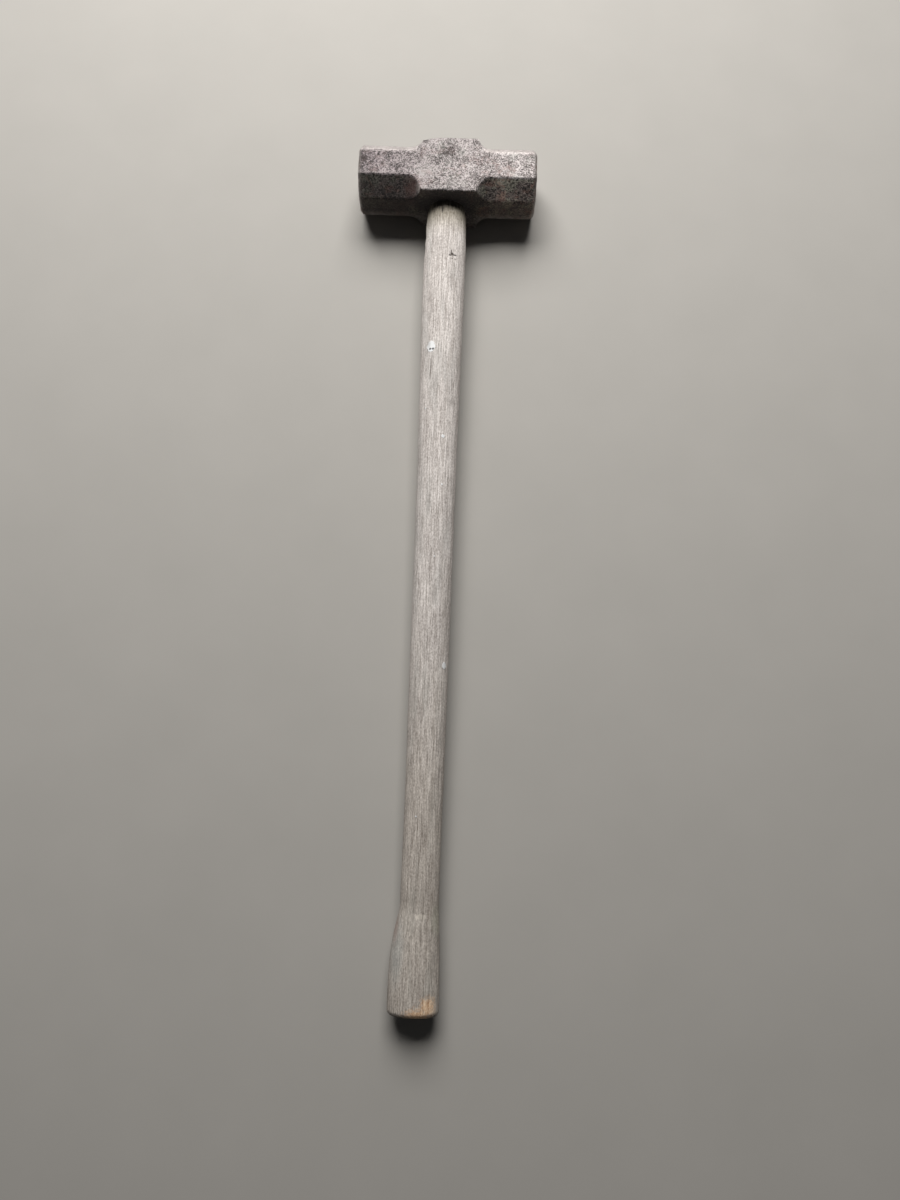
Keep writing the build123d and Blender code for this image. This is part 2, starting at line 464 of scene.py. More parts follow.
def end_cap(rim, rim_start, next_index, is_butt):
    """Rings of rough end grain that close one end of the handle: their points and faces."""
    middle = rim.mean(axis=0)
    base = 0.35 if is_butt else -0.25  # millimetres, so that the end stays within the CAD's end plane
    outer = list(range(rim_start, rim_start + HANDLE_COLUMNS))
    rings, faces = [], []
    for ring in range(1, CAP_RINGS + 1):
        share = 1 - ring / CAP_RINGS
        is_middle = ring == CAP_RINGS
        points = middle[None, :].copy() if is_middle else middle + (rim - middle) * share
        rough = 0.22 * layered_noise(points, 3.5 * MM, 55, 2)
        rough = rough + 0.12 * noise(points, (14 * MM, 14 * MM, 1.6 * MM), 65)
        points[:, 1] += (base + rough) * MM * (1 - share**6)
        inner = list(range(next_index, next_index + len(points)))
        if is_middle:
            inner = inner * HANDLE_COLUMNS
        for j in range(HANDLE_COLUMNS):
            k = (j + 1) % HANDLE_COLUMNS
            face = (outer[j], outer[k], inner[k]) if is_middle else (outer[j], outer[k], inner[k], inner[j])
            faces.append(face if is_butt else tuple(reversed(face)))
        rings.append(points)
        next_index += len(points)
        outer = inner
    return np.concatenate(rings), faces


def prism(name, outline, half_width):
    """A solid with an outline in Y and Z, from -half_width to half_width in X."""
    count = len(outline)
    vertices = [(x, y, z) for x in (-half_width, half_width) for y, z in outline]
    sides = [(i, (i + 1) % count, count + (i + 1) % count, count + i) for i in range(count)]
    caps = [tuple(reversed(range(count))), tuple(range(count, 2 * count))]
    solid = make_object(name, vertices, sides + caps)
    work = bmesh.new()
    work.from_mesh(solid.data)
    bmesh.ops.recalc_face_normals(work, faces=work.faces)
    work.to_mesh(solid.data)
    work.free()
    return solid


def cut_wedge_slots(piece):
    """Cuts the saw cut and the steel wedges' slots into the tongue."""
    top, tip = wood_wedge_high.y, wood_wedge_low.y
    half_top = (wood_wedge_high.z - wood_wedge_low.z) / 2
    half_gap = KERF_GAP / 2
    half_over = half_top + OVERCUT * (half_top - half_gap) / (top - tip)
    kerf_end = tip - KERF_PAST_WEDGE
    upper = ((top + OVERCUT, half_over), (tip, half_gap), (kerf_end, half_gap))
    outline = [(y, AXIS_Z + z) for y, z in upper] + [(y, AXIS_Z - z) for y, z in reversed(upper)]
    cutters = [prism("kerf_cutter", outline, 30 * MM)]
    cutters += [welded_copy(n, n + "_cutter") for n in ("steel_wedge_left", "steel_wedge_right")]
    for cutter in cutters:
        cut = piece.modifiers.new("cut", "BOOLEAN")
        cut.operation = "DIFFERENCE"
        cut.solver = "EXACT"
        cut.object = cutter
    apply_modifiers(piece)
    for cutter in cutters:
        bpy.data.objects.remove(cutter)
    clean_mesh(piece.data)


def make_handle():
    rows = row_places()
    columns = HANDLE_COLUMNS
    angles = np.arange(columns) / columns * 2 * math.pi
    radii = section_radii(rows, angles)
    shaft = slice(int(np.argmax(rows > BUTT_Y + BUTT_ROUND)), int(np.argmax(rows >= SEAT_Y - 1 * MM)))
    radii[shaft] = smooth_rows(radii[shaft], 3)

    grid_y = np.repeat(rows[:, None], columns, axis=1)
    points = np.stack([radii * np.cos(angles), grid_y, AXIS_Z + radii * np.sin(angles)], axis=2)
    points = points.reshape(-1, 3)
    relief, depth_mark = handle_relief(points)
    points[:, 0] += relief * MM * np.tile(np.cos(angles), len(rows))
    points[:, 2] += relief * MM * np.tile(np.sin(angles), len(rows))

    faces = []
    for i in range(len(rows) - 1):
        this, above = i * columns, (i + 1) * columns
        for j in range(columns):
            k = (j + 1) % columns
            faces.append((this + j, above + j, above + k, this + k))
    butt, butt_faces = end_cap(points[:columns], 0, len(points), True)
    last_row = len(points) - columns
    tongue, tongue_faces = end_cap(points[last_row:], last_row, len(points) + len(butt), False)
    faces += butt_faces + tongue_faces
    piece = make_object("sledge_handle", np.concatenate([points, butt, tongue]), faces)
    marks = np.concatenate([depth_mark, np.zeros(len(butt) + len(tongue))])
    set_attribute(piece.data, "crack", marks)
    cut_wedge_slots(piece)
    piece.data.shade_smooth()
    return piece


# ------------------------------------------------------------------ wedges

WOODEN_WEDGE_VOXEL = 0.5 * MM
STEEL_WEDGE_VOXEL = 0.4 * MM
WEDGE_INSET = 0.01 * MM  # keeps a wedge's sides clear of its slot


def make_wedge(node, voxel, roughness, seed):
    """A wedge with a beaten top and slightly rounded edges."""
    piece = fine_copy(node, "sledge_" + node, voxel)
    mesh = piece.data
    ends = edges_of(mesh)
    points = points_of(mesh)
    for _ in range(3):
        points = points + 0.4 * (neighbour_mean(points, ends) - points)
    set_points(mesh, points)
    bend = bend_of(mesh, ends)
    normals = normals_of(mesh)
    top = np.clip((points[:, 1] - (TONGUE_END_Y - 1 * MM)) / MM, 0, 1)
    height = roughness * layered_noise(points, 2.4 * MM, seed, 3)
    points = points + normals * (height * top - WEDGE_INSET)[:, None]
    set_points(mesh, points)
    set_attribute(mesh, "edge", np.clip(bend * 1.6, 0, 1))
    mesh.shade_smooth()
    return piece


# ------------------------------------------------------------------ material helpers


class Shader:
    """A material's node tree, with one short method for each kind of node used here.

    Places are in millimetres, in the CAD model's frame, as the socket self.place.
    """

    def __init__(self, name):
        self.material = bpy.data.materials.new(name)
        self.material.use_nodes = True
        self.tree = self.material.node_tree
        self.tree.nodes.clear()
        self.output = self.tree.nodes.new("ShaderNodeOutputMaterial")
        self.surface = self.tree.nodes.new("ShaderNodeBsdfPrincipled")
        self.tree.links.new(self.surface.outputs["BSDF"], self.output.inputs["Surface"])
        coordinates = self.tree.nodes.new("ShaderNodeTexCoord")
        self.place = self.vector("SCALE", coordinates.outputs["Object"], scale=1 / MM)

    def put(self, socket, value):
        if isinstance(value, bpy.types.NodeSocket):
            self.tree.links.new(value, socket)
        elif isinstance(value, (tuple, list)) and len(value) == 3 and socket.type == "RGBA":
            socket.default_value = (*value, 1)
        else:
            socket.default_value = value

    def vector(self, operation, a, b=None, scale=None):
        made = self.tree.nodes.new("ShaderNodeVectorMath")
        made.operation = operation
        self.put(made.inputs[0], a)
        if b is not None:
            self.put(made.inputs[1], b)
        if scale is not None:
            self.put(made.inputs["Scale"], scale)
        return made.outputs["Value" if operation in ("LENGTH", "DISTANCE") else "Vector"]

    def math(self, operation, a, b=0.0):
        made = self.tree.nodes.new("ShaderNodeMath")
        made.operation = operation
        self.put(made.inputs[0], a)
        self.put(made.inputs[1], b)
        return made.outputs[0]

    def times(self, a, b):
        return self.math("MULTIPLY", a, b)

    def plus(self, a, b):
        return self.math("ADD", a, b)

    def swing(self, value, span):
        """A value from 0 to 1, as an offset that spans from -span / 2 to span / 2."""
        return self.times(self.math("SUBTRACT", value, 0.5), span)

    def most(self, *values):
        """The largest of the values."""
        largest = values[0]
        for value in values[1:]:
            largest = self.math("MAXIMUM", largest, value)
        return largest

    def axes(self, vector):
        made = self.tree.nodes.new("ShaderNodeSeparateXYZ")
        self.put(made.inputs[0], vector)
        return made.outputs

    def noise(self, size, detail=3.0, roughness=0.55, distortion=0.0, place=None):
        """Noise from 0 to 1. Size is in millimetres, one number or one for each axis."""
        sizes = size if isinstance(size, tuple) else (size, size, size)
        scaled = self.vector("MULTIPLY", place or self.place, tuple(1 / s for s in sizes))
        made = self.tree.nodes.new("ShaderNodeTexNoise")
        self.put(made.inputs["Vector"], scaled)
        self.put(made.inputs["Scale"], 1.0)
        self.put(made.inputs["Detail"], detail)
        self.put(made.inputs["Roughness"], roughness)
        self.put(made.inputs["Distortion"], distortion)
        return made.outputs["Fac"]

    def turned(self, angle):
        """The place, turned about the vertical."""
        made = self.tree.nodes.new("ShaderNodeVectorRotate")
        made.rotation_type = "Z_AXIS"
        self.put(made.inputs["Vector"], self.place)
        self.put(made.inputs["Angle"], angle)
        return made.outputs["Vector"]

    def between(self, value, low, high):
        """0 below low, 1 above high, and an eased step between them. High may be the lower one."""
        made = self.tree.nodes.new("ShaderNodeMapRange")
        made.interpolation_type = "SMOOTHSTEP"
        flip = high < low
        self.put(made.inputs["Value"], value)
        self.put(made.inputs["From Min"], min(low, high))
        self.put(made.inputs["From Max"], max(low, high))
        self.put(made.inputs["To Min"], 1.0 if flip else 0.0)
        self.put(made.inputs["To Max"], 0.0 if flip else 1.0)
        return made.outputs["Result"]

    def level(self, value, low, high):
        """A straight ramp from 0 at low to 1 at high."""
        made = self.tree.nodes.new("ShaderNodeMapRange")
        self.put(made.inputs["Value"], value)
        self.put(made.inputs["From Min"], low)
        self.put(made.inputs["From Max"], high)
        return made.outputs["Result"]

    def blend_of(self, *parts):
        """The sum of (value, share) parts, each value from 0 to 1 about its middle, 0.5."""
        total = 0.5
        for value, share in parts:
            total = self.plus(total, self.swing(value, share))
        return total

    def mix(self, share, a, b, blend="MIX"):
        made = self.tree.nodes.new("ShaderNodeMix")
        made.data_type = "RGBA"
        made.blend_type = blend
        self.put(made.inputs["Factor"], share)
        self.put(made.inputs[6], a)
        self.put(made.inputs[7], b)
        return made.outputs[2]

    def tint(self, colour, tint, share=1.0):
        """The colour multiplied by tint, where share is above 0."""
        return self.mix(share, colour, tint, "MULTIPLY")

    def blend_numbers(self, share, a, b):
        made = self.tree.nodes.new("ShaderNodeMix")
        made.data_type = "FLOAT"
        self.put(made.inputs["Factor"], share)
        self.put(made.inputs[2], a)
        self.put(made.inputs[3], b)
        return made.outputs[0]

    def attribute(self, name):
        made = self.tree.nodes.new("ShaderNodeAttribute")
        made.attribute_name = name
        return made.outputs["Fac"]

    def bump(self, height, depth, normal=None):
        """Relief from a height of 0 to 1 that stands for depth, in millimetres."""
        made = self.tree.nodes.new("ShaderNodeBump")
        self.put(made.inputs["Strength"], 1.0)
        self.put(made.inputs["Distance"], depth * MM)
        self.put(made.inputs["Height"], height)
        if normal is not None:
            self.put(made.inputs["Normal"], normal)
        return made.outputs["Normal"]

    def finish(self, **inputs):
        for name, value in inputs.items():
            self.put(self.surface.inputs[name.replace("_", " ")], value)
        return self.material


# ------------------------------------------------------------------ materials

# The materials work in millimetres, and "below" is a distance from the head towards the butt.
AXIS_MM = AXIS_Z / MM
SEAT_MM = SEAT_Y / MM
HALF_HEAD_MM = head_high.x / MM
BLOCK_MIDDLE_MM = sum(BLOCK_ENDS) / 2 / MM
# Stains on the upper cheek: x, below, half width and half length
CHEEK_STAINS = ((-71, -31, 2.6, 1.8), (-91, -37, 3.0, 4.0), (-2, -45, 4.0, 2.4), (-55, -24, 1.8, 1.3))
# The same for marks on the handle
KNOT = (8.0, 65.3, 1.7, 1.3)
KNOT_LEGS = ((5.9, 67.2, 1.5, 0.9), (10.6, 66.4, 2.3, 0.8), (7.2, 62.4, 0.5, 1.9))
KNOT_LINES = ((8.3, 71.0, 1.2, 0.7), (11.4, 71.0, 1.1, 0.7))
PAINT_HOLES = ((-11.3, 176.6, 1.25, 1.15), (-8.3, 176.8, 1.25, 1.15))
PAINT_DROPS = (
    (5.7, 274.4, 1.7, 1.9),
    (6.6, 326.3, 0.9, 1.1),
    (15.3, 511.0, 1.9, 3.4),
    (-13.5, 243.0, 0.8, 0.8),
    (2.0, 402.0, 0.6, 0.8),
    (-6.0, 655.0, 0.7, 0.9),
)


def spot(s, x, below, half_x, half_y, soft=0.25, wobble=0.5):
    """A ragged round mark on the upper side of the head or the handle, 1 inside it."""
    centre = (x, SEAT_MM - below, AXIS_MM + 16.0)
    offset = s.vector("SUBTRACT", s.place, centre)
    reach = s.vector("LENGTH", s.vector("MULTIPLY", offset, (1 / half_x, 1 / half_y, 0.02)))
    reach = s.plus(reach, s.swing(s.noise((1.8, 2.6, 1.8), 3, 0.6), wobble * 2))
    upper = s.between(s.axes(s.place)[2], AXIS_MM, AXIS_MM + 2)
    return s.times(s.between(reach, 1 + soft, 1 - soft), upper)


def oxide_on_steel(s, shade, red, olive):
    """Scale in the chamfers and on the sides: near black, olive-grey and rust in turn, with painted shade
    on the side by the handle.
    """
    x, y, _ = s.axes(s.place)
    grey = s.mix(shade, (0.006, 0.005, 0.006), (0.195, 0.163, 0.152))
    olive_grey = s.mix(shade, (0.008, 0.008, 0.007), (0.275, 0.264, 0.224))
    rust = s.mix(shade, (0.022, 0.011, 0.009), (0.260, 0.140, 0.114))
    colour = s.mix(s.between(olive, 0.47, 0.57), grey, olive_grey)
    colour = s.mix(s.times(s.between(red, 0.51, 0.62), 0.60), colour, rust)
    colour = s.tint(colour, s.mix(s.level(x, -60, 60), (0.95, 0.95, 0.95), (1.36, 1.33, 1.29)))
    # Painted shade: the side by the handle, which faces away from the lamp, is darkened.
    handle_side_shade = s.between(y, SEAT_MM + 2.5, SEAT_MM + 0.9)
    return s.tint(colour, (0.52, 0.47, 0.44), handle_side_shade)


def worn_steel(s, tone, shade, patches, red, olive):
    """Metal worn down to the steel: pinkish grey, with more contrast at the end that lies on dirty ground.
    """
    x = s.axes(s.place)[0]
    colour = s.mix(shade, (0.036, 0.025, 0.022), (0.500, 0.448, 0.440))
    dirty = s.mix(s.level(tone, 0.39, 0.61), (0.018, 0.011, 0.012), (0.500, 0.424, 0.432))
    dirty_end = s.between(s.plus(x, s.swing(patches, 70.0)), -10, -90)
    colour = s.mix(s.times(dirty_end, 0.9), colour, dirty)
    colour = s.mix(s.times(s.between(red, 0.53, 0.66), 0.40), colour, (0.230, 0.145, 0.130))
    return s.mix(s.times(s.between(olive, 0.52, 0.62), 0.25), colour, (0.290, 0.290, 0.265))


def beaten_steel(s, stains, red, pit):
    """Dull grey metal with brown stains, as on the striking faces."""
    colour = s.mix(s.level(stains, 0.3, 0.7), (0.110, 0.090, 0.080), (0.330, 0.300, 0.290))
    colour = s.mix(s.times(s.between(red, 0.50, 0.64), 0.5), colour, (0.150, 0.088, 0.062))
    return s.mix(s.times(s.between(pit, 0.3, 1.0), 0.6), colour, (0.050, 0.036, 0.030))


def dark_specks(s, pit, hollow):
    """Short dark dashes in two directions, stains, pits and hollows: how dark each place is."""
    dashes = s.most(
        s.between(s.noise((1.3, 3.6, 1.6), 3, 0.6, place=s.turned(0.9)), 0.60, 0.68),
        s.between(s.noise((1.5, 4.2, 1.6), 3, 0.6, place=s.turned(-0.6)), 0.61, 0.69),
    )
    stains = [spot(s, *neck_darkening, 0.5, 0.8) for neck_darkening in CHEEK_STAINS]
    pits = s.times(s.between(pit, 0.35, 1.0), 0.55)
    return s.most(s.times(s.most(dashes, *stains), 0.8), pits, s.times(hollow, 0.6))


def darken_around_eye(s, tone):
    """Darkens the side by the handle around the eye, where the handle comes out."""
    y = s.axes(s.place)[1]
    offset = s.vector("SUBTRACT", s.place, (0, SEAT_MM, AXIS_MM))
    from_eye = s.vector("LENGTH", s.vector("MULTIPLY", offset, (0.8, 0.8, 0.9)))
    near_eye = s.between(s.plus(from_eye, s.swing(tone, 40.0)), 42, 22)
    return s.times(s.times(near_eye, s.between(y, SEAT_MM + 4, SEAT_MM + 1.5)), 0.8)


def forged_steel():
    """Old forged steel: worn grey on the cheeks, the crown side made pale as painted light, and brown oxide
    with painted shade by the handle.
    """
    s = Shader("forged_steel")
    pit, edge, hollow = s.attribute("pit"), s.attribute("edge"), s.attribute("hollow")
    x, y, z = s.axes(s.place)
    patches = s.noise(34, 3, 0.5)
    cloud = s.noise(21, 7, 0.86)
    specks = s.noise(2.9, 4, 0.75)
    grit = s.noise(1.3, 3, 0.8)
    red = s.noise(12, 5, 0.7, 0.6)
    olive = s.noise(19, 5, 0.7)
    tone = s.blend_of((cloud, 0.9), (specks, 1.05), (grit, 1.8), (patches, 0.55))
    shade = s.level(tone, 0.32, 0.68)

    # The cheeks are worn by the ground and by hands. The crown side, which faces the lamp, is made as pale
    # as them: painted light. The side by the handle is not.
    off_axis = s.math("ABSOLUTE", s.math("SUBTRACT", z, AXIS_MM))
    crown_side = s.between(y, 12.0, 17.0)
    rubbed_and_lit = s.most(s.between(off_axis, 30.0, 32.3), s.times(crown_side, 0.95))
    wear_and_light = s.blend_of((rubbed_and_lit, 0.8), (edge, 0.5), (tone, 0.9), (grit, 0.4))
    bright = s.between(wear_and_light, 0.12, 0.60)
    oxide = oxide_on_steel(s, shade, red, olive)
    colour = s.mix(bright, oxide, worn_steel(s, tone, shade, patches, red, olive))
    # The upper cheek's edge by the handle is chipped, and more so at the dirty end.
    chips = s.between(s.blend_of((edge, 1.0), (s.noise(7, 4, 0.6), 2.4), (specks, 0.8)), 0.62, 0.92)
    chips = s.times(s.times(chips, s.between(y, -4, -14)), s.level(x, 140, -70))
    colour = s.mix(s.times(chips, 0.85), colour, oxide)
    # Edges worn bright, four times as strongly on the crown side, which faces the lamp: edge wear, with a
    # painted highlight on the crown side.
    burnished_and_lit = s.between(s.blend_of((edge, 1.0), (grit, 0.6)), 0.30, 0.75)
    burnished_and_lit = s.times(burnished_and_lit, s.plus(s.times(crown_side, 0.75), 0.25))
    colour = s.mix(s.times(burnished_and_lit, 0.8), colour, (0.640, 0.590, 0.575))

    # The colour grows lighter from the -X end to the +X end.
    along = s.level(x, head_low.x / MM, HALF_HEAD_MM)
    colour = s.tint(colour, s.mix(along, (0.62, 0.61, 0.62), (1.49, 1.53, 1.54)))
    # Painted highlight: the upper chamfers of the crown side, which face the lamp, get a pale metal colour
    # that stands for the light they catch, paler towards +X.
    rim = s.times(crown_side, s.between(z, AXIS_MM + 12, AXIS_MM + 20))
    from_block = s.math("ABSOLUTE", s.math("SUBTRACT", x, BLOCK_MIDDLE_MM))
    rim = s.times(rim, s.between(from_block, 32, 40))
    rim_highlight_colour = s.mix(shade, (0.330, 0.292, 0.282), (0.640, 0.592, 0.578))
    rim_highlight_colour = s.tint(rim_highlight_colour, s.mix(s.level(x, -60, 60), (1.14, 1.14, 1.14), (1.42, 1.42, 1.42)))
    colour = s.mix(s.times(rim, 0.8), colour, rim_highlight_colour)
    # Scratches in two directions.
    for turn, low in ((0.5, 0.66), (-0.9, 0.68)):
        scratch = s.between(s.noise((0.35, 17, 4), 2, 0.5, place=s.turned(turn)), low, low + 0.05)
        colour = s.mix(s.times(s.times(scratch, bright), 0.45), colour, (0.60, 0.56, 0.55))
    dark = dark_specks(s, pit, hollow)
    colour = s.mix(dark, colour, (0.034, 0.022, 0.019))

    # The striking faces are beaten smooth, and the crown side and the underside are plainer too.
    struck = s.between(s.math("ABSOLUTE", x), HALF_HEAD_MM - 3.4, HALF_HEAD_MM - 2.2)
    plain = s.most(s.between(y, 31.4, 32.2), s.between(z, AXIS_MM - 4, AXIS_MM - 14))
    beaten = beaten_steel(s, s.blend_of((cloud, 1.1), (specks, 0.7), (grit, 0.5)), red, pit)
    colour = s.mix(s.times(struck, 0.85), colour, beaten)
    colour = s.mix(s.times(plain, 0.65), colour, beaten)
    scoop_rust = spot(s, -37, -8.5, 8.0, 7.0, 0.7, 0.9)
    colour = s.mix(s.times(scoop_rust, 0.40), colour, (0.150, 0.060, 0.050))
    # Darker around the eye, on the side by the handle.
    colour = s.mix(darken_around_eye(s, tone), colour, (0.022, 0.019, 0.020))

    shine = s.times(bright, s.math("SUBTRACT", 1.0, dark))
    smoothed = s.times(struck, 0.8)
    metallic = s.blend_numbers(burnished_and_lit, s.times(shine, 0.35), 0.85)
    metallic = s.blend_numbers(smoothed, metallic, 0.75)
    roughness = s.blend_numbers(shine, 0.84, 0.60)
    roughness = s.blend_numbers(burnished_and_lit, roughness, 0.42)
    roughness = s.blend_numbers(smoothed, roughness, 0.52)
    roughness = s.plus(roughness, s.swing(grit, 0.25))
    relief = s.bump(s.noise(3.5, 5, 0.7), 0.35)
    relief = s.bump(tone, 0.30, relief)
    # The sheen is dust, which pales the metal at a flat angle.
    return s.finish(
        Base_Color=colour,
        Metallic=metallic,
        Roughness=roughness,
        Normal=relief,
        Sheen_Weight=0.70,
        Sheen_Roughness=0.35,
        Sheen_Tint=(1.0, 0.95, 0.92, 1),
    )


def early_wood(s):
    """Where the soft, porous start of each growth ring lies."""
    pith = (-46.0, 0.0, AXIS_MM - 62.0)  # well outside the handle
    ring_width = 2.7
    flat = s.vector("MULTIPLY", s.vector("SUBTRACT", s.place, pith), (1, 0, 1))
    wander = s.swing(s.noise((60, 320, 60), 3, 0.5), 11.0)
    wander = s.plus(wander, s.swing(s.noise((7, 60, 7), 2, 0.5), 1.1))
    radius = s.plus(s.vector("LENGTH", flat), wander)
    ring = s.math("FRACT", s.math("DIVIDE", radius, ring_width))
    return s.times(s.between(ring, 0.42, 0.12), s.between(ring, 0.0, 0.10))


def darken_grip_and_neck(s, colour, below, blotch):
    """Darkens the grip towards the butt, as grime and a painted fall-off of the light, and the neck below
    the head, as grime and painted shade.
    """
    # Grime on the grip, and a painted fall-off of the light towards the butt.
    grip = s.plus(s.between(below, 310, 740), s.swing(blotch, 0.5))
    colour = s.tint(colour, (0.79, 0.768, 0.722), s.between(grip, 0.05, 1.1))
    ragged = s.swing(s.noise((2.2, 22, 2.2), 3, 0.6), 22.0)
    # Grime and painted shade in the first 13 mm below the head, where the head's shadow falls.
    neck_dirt_and_shade = s.between(s.plus(below, ragged), 13, 1)
    colour = s.mix(s.times(neck_dirt_and_shade, 0.85), colour, (0.060, 0.048, 0.038))
    # The neck is darker over its last 46 mm below the head.
    neck_darkening = s.between(s.plus(below, s.times(ragged, 0.5)), 46, 8)
    colour = s.tint(colour, (0.62, 0.60, 0.51), neck_darkening)
    notch = spot(s, -4.2, 11, 0.9, 4.5, 0.5, 0.5)
    return s.mix(s.times(notch, 0.8), colour, (0.030, 0.025, 0.022))


def add_end_grain(s, colour, early, blotch):
    """The end grain is darker, because it drinks grime and water."""
    y = s.axes(s.place)[1]
    butt, tongue = BUTT_Y / MM, TONGUE_END_Y / MM
    ends = s.most(s.between(y, butt + 2.2, butt + 0.8), s.between(y, tongue - 1.2, tongue - 0.7))
    rings = s.mix(early, (0.195, 0.155, 0.118), (0.075, 0.055, 0.041))
    pores = s.between(s.noise(0.7, 3, 0.6), 0.52, 0.66)
    rings = s.mix(s.times(pores, 0.6), rings, (0.050, 0.038, 0.028))
    greyed = s.mix(0.5, rings, (0.165, 0.150, 0.130))
    rings = s.mix(s.between(blotch, 0.40, 0.65), rings, greyed)
    return s.mix(s.times(ends, 0.9), colour, rings)


def add_handle_marks(s, colour, tone, crack):
    """Stains, the fresh wood at the butt, the knot, a pale nick, and grime and painted shade in the open
    cracks and dents.
    """
    z = s.axes(s.place)[2]
    green = spot(s, 17, 748, 5, 12, 0.6, 0.5)
    colour = s.mix(s.times(green, 0.25), colour, (0.30, 0.34, 0.23))
    blue = spot(s, -19, 775, 6, 26, 0.6, 0.5)
    colour = s.mix(s.times(blue, 0.35), colour, (0.36, 0.40, 0.40))
    flank = spot(s, -21.5, 750, 3.2, 17, 0.5, 0.6)
    colour = s.mix(s.times(flank, 0.6), colour, (0.330, 0.235, 0.205))
    fresh = s.most(spot(s, 11.5, 822, 6.5, 7.5, 0.7, 1.1), spot(s, 3.5, 829, 10.5, 5.5, 0.7, 1.2))
    fresh = s.times(fresh, s.between(z, AXIS_MM + 6.0, AXIS_MM + 10.0))
    fresh_wood = s.mix(s.level(tone, 0.28, 0.72), (0.46, 0.250, 0.130), (1.0, 0.760, 0.530))
    colour = s.mix(fresh, colour, fresh_wood)
    knot = s.most(spot(s, *KNOT, 0.3, 0.5), *[spot(s, *leg, 0.4, 0.5) for leg in KNOT_LEGS])
    colour = s.mix(s.times(knot, 0.92), colour, (0.035, 0.027, 0.024))
    knot_lines = s.most(*[spot(s, *line, 0.4, 0.5) for line in KNOT_LINES])
    colour = s.mix(s.times(knot_lines, 0.75), colour, (0.08, 0.065, 0.055))
    nick = spot(s, 2, 744.5, 4.4, 2.4, 0.5, 0.7)
    colour = s.mix(s.times(nick, 0.9), colour, (0.86, 0.79, 0.70))
    # Cracks and dents are darkened by their depth: grime in them and painted shade.
    return s.mix(s.times(s.between(crack, 0.25, 0.9), 0.8), colour, (0.085, 0.068, 0.054))


def white_paint(s):
    """A splash of white paint with two holes in it, and drops: where it is, and its colour."""
    thin = spot(s, -12.6, 171.5, 1.6, 3.4, 0.5, 0.5)
    colour = s.mix(s.times(thin, 0.45), (0.84, 0.85, 0.86), (0.46, 0.45, 0.44))
    holes = s.most(*[spot(s, *hole, 0.3, 0.2) for hole in PAINT_HOLES])
    colour = s.mix(s.times(holes, 0.95), colour, (0.06, 0.06, 0.065))
    drops = [spot(s, *drop, 0.2, 0.35) for drop in PAINT_DROPS]
    return s.most(spot(s, -10.5, 174, 4.2, 6.0, 0.12, 0.34), *drops), colour


def weathered_ash():
    """Unfinished ash gone grey-tan, with open grain, grime and painted shade at the neck and a fresh chip
    at the butt.
    """
    s = Shader("weathered_ash")
    below = s.math("SUBTRACT", SEAT_MM, s.axes(s.place)[1])
    early = early_wood(s)
    streak = s.noise((2.2, 60, 2.2), 4, 0.65)
    fibre = s.noise((0.95, 24, 0.95), 3, 0.7)
    grit = s.noise((1.1, 2.2, 1.1), 2, 0.6)
    line = s.between(s.noise((0.8, 34, 0.8), 3, 0.6), 0.56, 0.68)
    pores = s.between(s.noise((0.9, 8, 0.9), 2, 0.5), 0.60, 0.68)
    pores = s.times(pores, s.plus(s.times(early, 0.6), 0.4))
    blotch = s.noise((18, 60, 18), 5, 0.6)
    grey = s.noise((12, 90, 12), 4, 0.6)

    tone = s.blend_of((streak, 0.26), (fibre, 1.15), (grit, 0.80), (blotch, 0.24))
    colour = s.mix(s.level(tone, 0.2, 0.8), (0.280, 0.244, 0.224), (0.940, 0.884, 0.848))
    colour = s.mix(s.times(early, 0.22), colour, (0.360, 0.310, 0.270))
    colour = s.mix(s.times(line, 0.45), colour, (0.260, 0.220, 0.190))
    colour = s.mix(s.times(pores, 0.50), colour, (0.180, 0.150, 0.125))
    colour = s.mix(s.times(s.between(grey, 0.50, 0.68), 0.25), colour, (0.42, 0.425, 0.405))
    colour = darken_grip_and_neck(s, colour, below, blotch)
    colour = add_end_grain(s, colour, early, blotch)
    colour = add_handle_marks(s, colour, tone, s.attribute("crack"))
    paint, paint_colour = white_paint(s)
    colour = s.mix(paint, colour, paint_colour)

    roughness = s.blend_numbers(paint, 0.78, 0.45)
    grain = s.plus(s.times(streak, 0.5), s.times(fibre, 0.6))
    grain = s.math("SUBTRACT", grain, s.times(s.most(pores, line), 0.5))
    relief = s.bump(grain, 0.30)
    relief = s.bump(paint, 0.25, relief)
    return s.finish(Base_Color=colour, Roughness=roughness, Normal=relief)


def wedge_hardwood():
    """Dark end grain of the wooden wedge."""
    s = Shader("wedge_hardwood")
    layers = s.noise((9, 26, 0.7), 4, 0.6)
    specks = s.noise(0.9, 3, 0.6)
    colour = s.mix(s.between(layers, 0.35, 0.65), (0.120, 0.080, 0.050), (0.225, 0.165, 0.112))
    colour = s.mix(s.times(s.between(specks, 0.56, 0.70), 0.7), colour, (0.055, 0.038, 0.026))
    relief = s.bump(s.plus(layers, specks), 0.25)
    return s.finish(Base_Color=colour, Roughness=0.82, Normal=relief)


def wedge_steel():
    """Mild steel wedge: rust, with a beaten top."""
    s = Shader("wedge_steel")
    mottle = s.noise(3.2, 4, 0.65)
    grit = s.noise(0.7, 3, 0.6)
    colour = s.mix(s.between(mottle, 0.35, 0.65), (0.070, 0.042, 0.032), (0.210, 0.105, 0.065))
    bright = s.times(s.between(s.plus(s.attribute("edge"), grit), 0.75, 1.1), 0.8)
    colour = s.mix(bright, colour, (0.33, 0.29, 0.27))
    metallic = s.times(bright, 0.7)
    roughness = s.blend_numbers(bright, 0.85, 0.5)
    relief = s.bump(s.plus(mottle, grit), 0.2)
    return s.finish(Base_Color=colour, Metallic=metallic, Roughness=roughness, Normal=relief)


